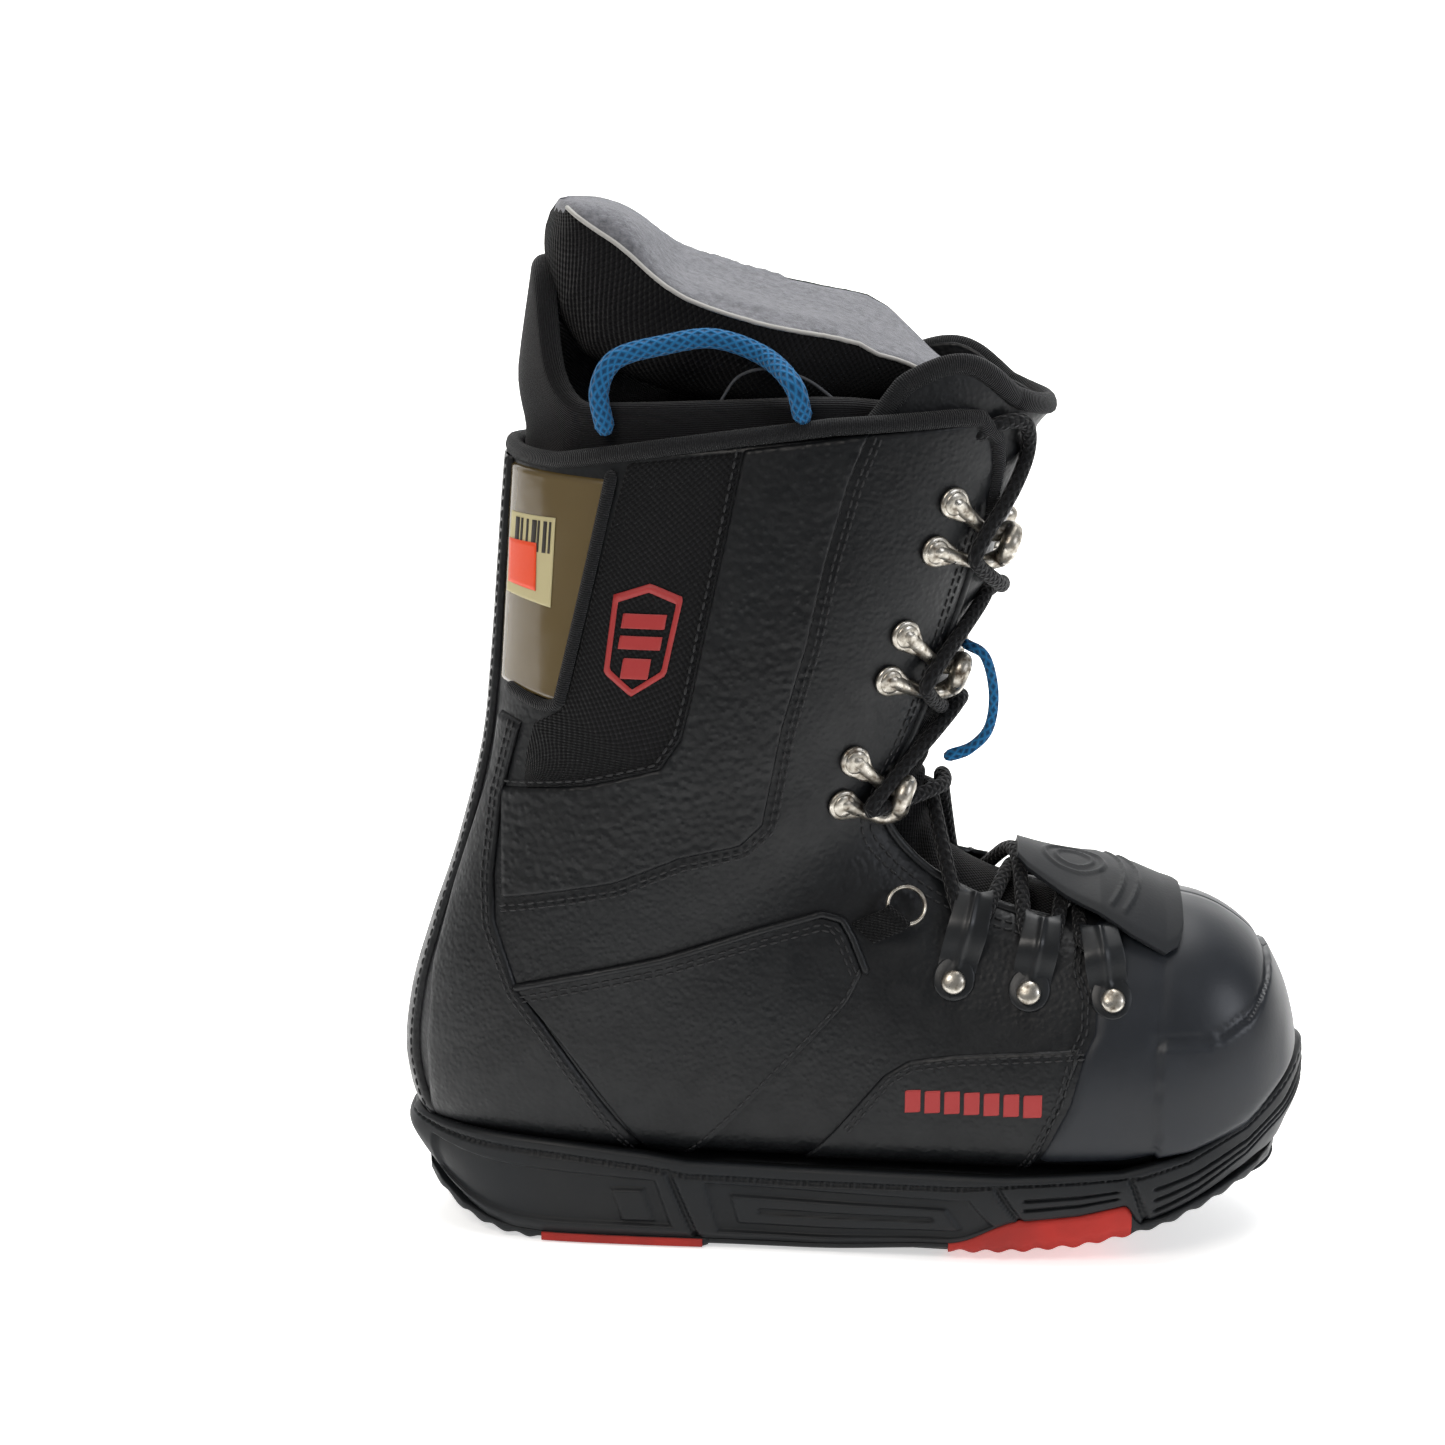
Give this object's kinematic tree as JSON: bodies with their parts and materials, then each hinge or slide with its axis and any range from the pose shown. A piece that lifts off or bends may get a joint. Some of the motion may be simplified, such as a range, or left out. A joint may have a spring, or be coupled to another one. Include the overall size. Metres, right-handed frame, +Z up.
{
  "type": "snowboard boot",
  "caption": "Right soft snowboard boot with cupped rubber sole, leather shell, lace hooks and guides, padded liner and folding tongue.",
  "frame": {"origin": "centre of the bounding box, on the ground plane", "axes": "+X to the toe, +Y to the inner side of the foot, +Z up"},
  "size_m": [0.313, 0.1146, 0.3556],
  "materials": {
    "rubber": "moulded, satin",
    "cap": "smooth moulded, satin",
    "keeper_rubber": "moulded, matte",
    "red_rubber": "moulded",
    "blue_rubber": "moulded",
    "foam": "closed cell foam",
    "board": "pressed board",
    "leather": "black, fine grain",
    "nylon": "woven nylon",
    "liner_knit": "padded knit",
    "fleece": "brushed fleece",
    "vinyl": "clear vinyl over card",
    "guide_plastic": "moulded nylon",
    "nickel": "worn nickel plate",
    "lace": "round braid",
    "blue_braid": "round braid"
  },
  "bodies": {
    "boot": {"outsole_heel": "rubber", "outsole_forefoot": "rubber", "outsole_red_band": "red_rubber", "arch_plate": "rubber", "heel_disc": "blue_rubber", "midsole": "foam", "lasting_board": "board", "sole_sidewall": "rubber", "toe_cap": "cap", "vamp": "leather", "shell_lower": "leather", "shell_cuff": "leather", "heel_counter": "leather", "backstay": "leather", "size_window": "vinyl", "gusset": "nylon", "shell_tongue": "leather", "liner_foot": "liner_knit", "liner_cuff": "liner_knit", "footbed": "foam", "liner_tongue_base": "liner_knit", "hook_low_outer": "nickel", "hook_rivet_low_1_outer": "nickel", "hook_rivet_low_2_outer": "nickel", "hook_middle_outer": "nickel", "hook_rivet_middle_1_outer": "nickel", "hook_rivet_middle_2_outer": "nickel", "hook_top_outer": "nickel", "hook_rivet_top_1_outer": "nickel", "hook_rivet_top_2_outer": "nickel", "lace_guide_rear_outer": "guide_plastic", "guide_rivet_rear_outer": "nickel", "lace_guide_middle_outer": "guide_plastic", "guide_rivet_middle_outer": "nickel", "lace_guide_front_outer": "guide_plastic", "guide_rivet_front_outer": "nickel", "hook_low_inner": "nickel", "hook_rivet_low_1_inner": "nickel", "hook_rivet_low_2_inner": "nickel", "hook_middle_inner": "nickel", "hook_rivet_middle_1_inner": "nickel", "hook_rivet_middle_2_inner": "nickel", "hook_top_inner": "nickel", "hook_rivet_top_1_inner": "nickel", "hook_rivet_top_2_inner": "nickel", "lace_guide_rear_inner": "guide_plastic", "guide_rivet_rear_inner": "nickel", "lace_guide_middle_inner": "guide_plastic", "guide_rivet_middle_inner": "nickel", "lace_guide_front_inner": "guide_plastic", "guide_rivet_front_inner": "nickel", "lace_strand_a": "lace", "lace_strand_b": "lace"},
    "tongue_leaf": {"liner_tongue": "fleece"},
    "keeper": {"lace_keeper": "keeper_rubber"},
    "ring_outer": {"lace_ring_outer": "nickel"},
    "ring_inner": {"lace_ring_inner": "nickel"},
    "pull_loop": {"pull_loop": "blue_braid"},
    "front_loop": {"front_loop": "blue_braid"}
  },
  "joints": [
    {"name": "tongue_fold", "type": "hinge", "parent": "boot", "child": "tongue_leaf", "pos_m": [0.034, 0, 0.288], "axis": [0, 1, 0], "range_deg": [0, 45]},
    {"name": "keeper_lift", "type": "hinge", "parent": "boot", "child": "keeper", "pos_m": [0.0572, 0, 0.1352], "axis": [0, -1, 0], "range_deg": [0, 60]},
    {"name": "ring_swing_outer", "type": "hinge", "parent": "boot", "child": "ring_outer", "pos_m": [0.01382, -0.03741, 0.11592], "axis": [0.7071, 0, -0.7071], "range_deg": [-10, 10]},
    {"name": "ring_swing_inner", "type": "hinge", "parent": "boot", "child": "ring_inner", "pos_m": [0.01382, 0.03543, 0.11592], "axis": [0.7071, 0, -0.7071], "range_deg": [-10, 10]},
    {"name": "pull_loop_swing", "type": "hinge", "parent": "boot", "child": "pull_loop", "pos_m": [-0.047, -0.048, 0.2905], "axis": [1, 0, 0], "range_deg": [-15, 25], "stiffness_Nm_per_rad": 0.02},
    {"name": "front_loop_swing", "type": "hinge", "parent": "boot", "child": "front_loop", "pos_m": [0.044, -0.015, 0.204], "axis": [0, 1, 0], "range_deg": [-12, 0], "stiffness_Nm_per_rad": 0.002}
  ]
}
